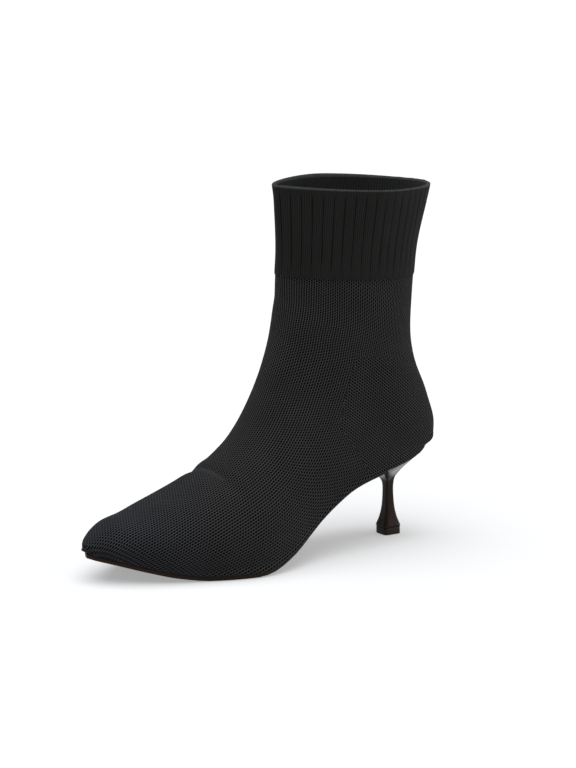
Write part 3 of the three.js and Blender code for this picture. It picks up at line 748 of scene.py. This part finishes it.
# Presses the soft troughs of the folds into the knit and lifts the ridges beside them.
def press_folds(mesh):
    points = mesh_points(mesh)
    normals = mesh_normals(mesh)
    place = side_places(points)
    for start, end, height, width in FOLDS:
        first = np.array(start) * SIDE_SCALE
        line = np.array(end) * SIDE_SCALE - first
        share = np.clip((place - first) @ line / (line @ line), 0, 1)
        distance = np.hypot(*(place - first - share[:, None] * line).T)
        rise = np.exp(-((distance / width) ** 2)) * (1 - FOLD_FADE * share) * height
        points += normals * (rise * MM)[:, None]
    set_points(mesh, points)


# Marks the solid's corners that lie in a groove of the cuff, where shade is painted in.
def mark_grooves(mesh):
    knit = knit_coordinates(mesh_points(mesh))
    hollow = hollowness(mesh) > GROOVE_HOLLOW
    on_cuff = knit["cuff"] > GROOVE_START
    outside = inward_share(mesh, knit) < 0.5
    off_seam = np.abs(mesh_points(mesh)[:, 1] - MIDDLE_Y) > SEAM_STRIP * MM
    store_number(mesh, "groove", (hollow & on_cuff & outside & off_seam).astype(float))


def store_knit(mesh):
    points = mesh_points(mesh)
    knit = knit_coordinates(points)
    store_number(mesh, "lining", inward_share(mesh, knit))
    store_number(mesh, "cuff", knit["cuff"])
    store_number(mesh, "rim", knit["rim"])
    store_number(mesh, "pocket_depth", pocket_depth(points))
    store_map(mesh, "knit", knit["across"], knit["along"])
    turn_cos, turn_sin = math.cos(POCKET_TURN), math.sin(POCKET_TURN)
    flat_x, flat_z = knit["flat"].T
    store_map(
        mesh,
        "pocket",
        flat_x * turn_cos - flat_z * turn_sin,
        flat_x * turn_sin + flat_z * turn_cos,
    )


def make_upper():
    piece = copy_of("upper", "knit_upper")
    mark_grooves(piece.data)
    smooth_through_corners(piece)
    round_toe(piece.data)
    press_folds(piece.data)
    store_knit(piece.data)
    piece.data.materials.append(knit_material())
    shade_smooth(piece)


def make_insole():
    piece = copy_of("insole", "insole_cover")
    soften_edges(piece, width=0.5)
    piece.data.materials.append(insole_material())
    shade_smooth(piece, angle=35)


def make_sole():
    piece = copy_of("outsole", "thin_sole")
    soften_edges(piece, width=0.4)
    piece.data.materials.append(sole_material())
    shade_smooth(piece, angle=35)


def make_heel():
    piece = copy_of("heel", "spool_heel")
    smooth_through_corners(piece)
    piece.data.materials.append(heel_material())
    shade_smooth(piece, angle=50)


def make_heel_cap():
    piece = copy_of("heel_tip", "heel_cap")
    soften_edges(piece, width=0.25)
    piece.data.materials.append(cap_material())
    shade_smooth(piece, angle=35)


def make_floor():
    deselect_all()
    bpy.ops.mesh.primitive_plane_add(size=FLOOR_SIZE, location=(0, 0, 0))
    floor = bpy.context.object
    floor.name = "floor"
    floor.data.materials.append(floor_material())


def add_panel(name, place, size, power, colour):
    deselect_all()
    bpy.ops.object.light_add(type="AREA", location=place)
    panel = bpy.context.object
    panel.name = name
    panel.data.shape = "SQUARE"
    panel.data.size = size
    panel.data.energy = power
    panel.data.color = colour
    panel.rotation_euler = (VIEW_TARGET - Vector(place)).to_track_quat("-Z", "Y").to_euler()


# A soft sun that lights the boot but has no reflection of its own in the heel.
def add_sun(name, toward, spread, power, colour):
    deselect_all()
    bpy.ops.object.light_add(type="SUN", location=Vector(toward))
    sun = bpy.context.object
    sun.name = name
    sun.data.energy = power
    sun.data.angle = math.radians(spread)
    sun.data.color = colour
    sun.visible_glossy = False
    sun.rotation_euler = Vector(toward).to_track_quat("Z", "Y").to_euler()


def make_lights():
    world = bpy.data.worlds.new("studio")
    bpy.context.scene.world = world
    world.use_nodes = True
    background = world.node_tree.nodes["Background"]
    background.inputs["Color"].default_value = (0.97, 0.98, 1.0, 1.0)
    background.inputs["Strength"].default_value = 0.6
    add_sun(
        "overhead",
        toward=(0.25, 0.05, 1.0),
        spread=70,
        power=4.2,
        colour=(0.96, 0.98, 1.0),
    )
    add_panel(
        "back",
        place=(-1.3, 0.75, 0.3),
        size=1.0,
        power=9,
        colour=(1.0, 0.98, 0.96),
    )


def make_camera():
    data = bpy.data.cameras.new("camera")
    camera = bpy.data.objects.new("camera", data)
    bpy.context.scene.collection.objects.link(camera)
    turn_cos, turn_sin = math.cos(VIEW_TURN), math.sin(VIEW_TURN)
    rise_cos, rise_sin = math.cos(VIEW_RISE), math.sin(VIEW_RISE)
    toward = Vector((turn_sin * rise_cos, turn_cos * rise_cos, rise_sin))
    right = Vector((-turn_cos, turn_sin, 0))
    up = Vector((-turn_sin * rise_sin, -turn_cos * rise_sin, rise_cos))
    rolled_right = right * math.cos(VIEW_ROLL) + up * math.sin(VIEW_ROLL)
    rolled_up = up * math.cos(VIEW_ROLL) - right * math.sin(VIEW_ROLL)
    turned = Matrix((rolled_right, rolled_up, toward)).transposed().to_4x4()
    camera.matrix_world = Matrix.Translation(VIEW_TARGET + toward * VIEW_DISTANCE) @ turned
    data.sensor_fit = "VERTICAL"
    data.sensor_height = SENSOR
    data.lens = PIXELS_PER_MM * VIEW_DISTANCE / MM / PICTURE_HEIGHT * SENSOR
    data.shift_x = (PICTURE_WIDTH / 2 - TARGET_PIXEL[0]) / PICTURE_HEIGHT
    data.shift_y = (TARGET_PIXEL[1] - PICTURE_HEIGHT / 2) / PICTURE_HEIGHT
    data.clip_end = FAR_CLIP
    bpy.context.scene.camera = camera


make_camera()
make_upper()
make_insole()
make_sole()
make_heel()
make_heel_cap()
make_floor()
make_lights()
bpy.context.scene.view_settings.view_transform = "Standard"
